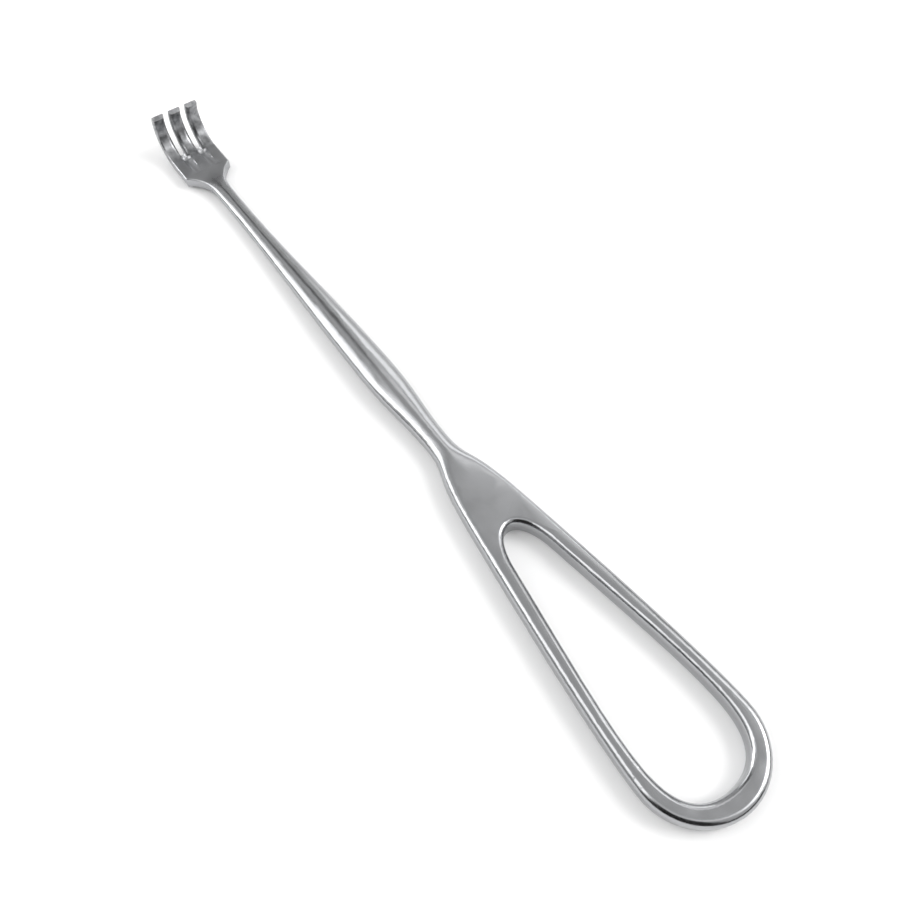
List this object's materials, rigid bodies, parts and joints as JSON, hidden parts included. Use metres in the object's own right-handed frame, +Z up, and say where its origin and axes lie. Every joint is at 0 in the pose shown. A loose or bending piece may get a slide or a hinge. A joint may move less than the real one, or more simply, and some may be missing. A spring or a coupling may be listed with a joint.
{
  "type": "handheld surgical retractor",
  "caption": "Rake retractor in one forged piece: drop-shaped finger ring, slim tapered shank and a small head plate with blunt prongs hooked upwards.",
  "frame": {"origin": "middle of the overall length and width, on the plane it lies on", "axes": "+X along the shank towards the prongs, +Y across it, +Z up, the way the prongs point when it lies on its back"},
  "size_m": [0.216, 0.0274, 0.0136],
  "materials": {
    "satin_steel": "satin-ground stainless steel"
  },
  "bodies": {
    "root": {"retractor": "satin_steel"}
  },
  "joints": []
}
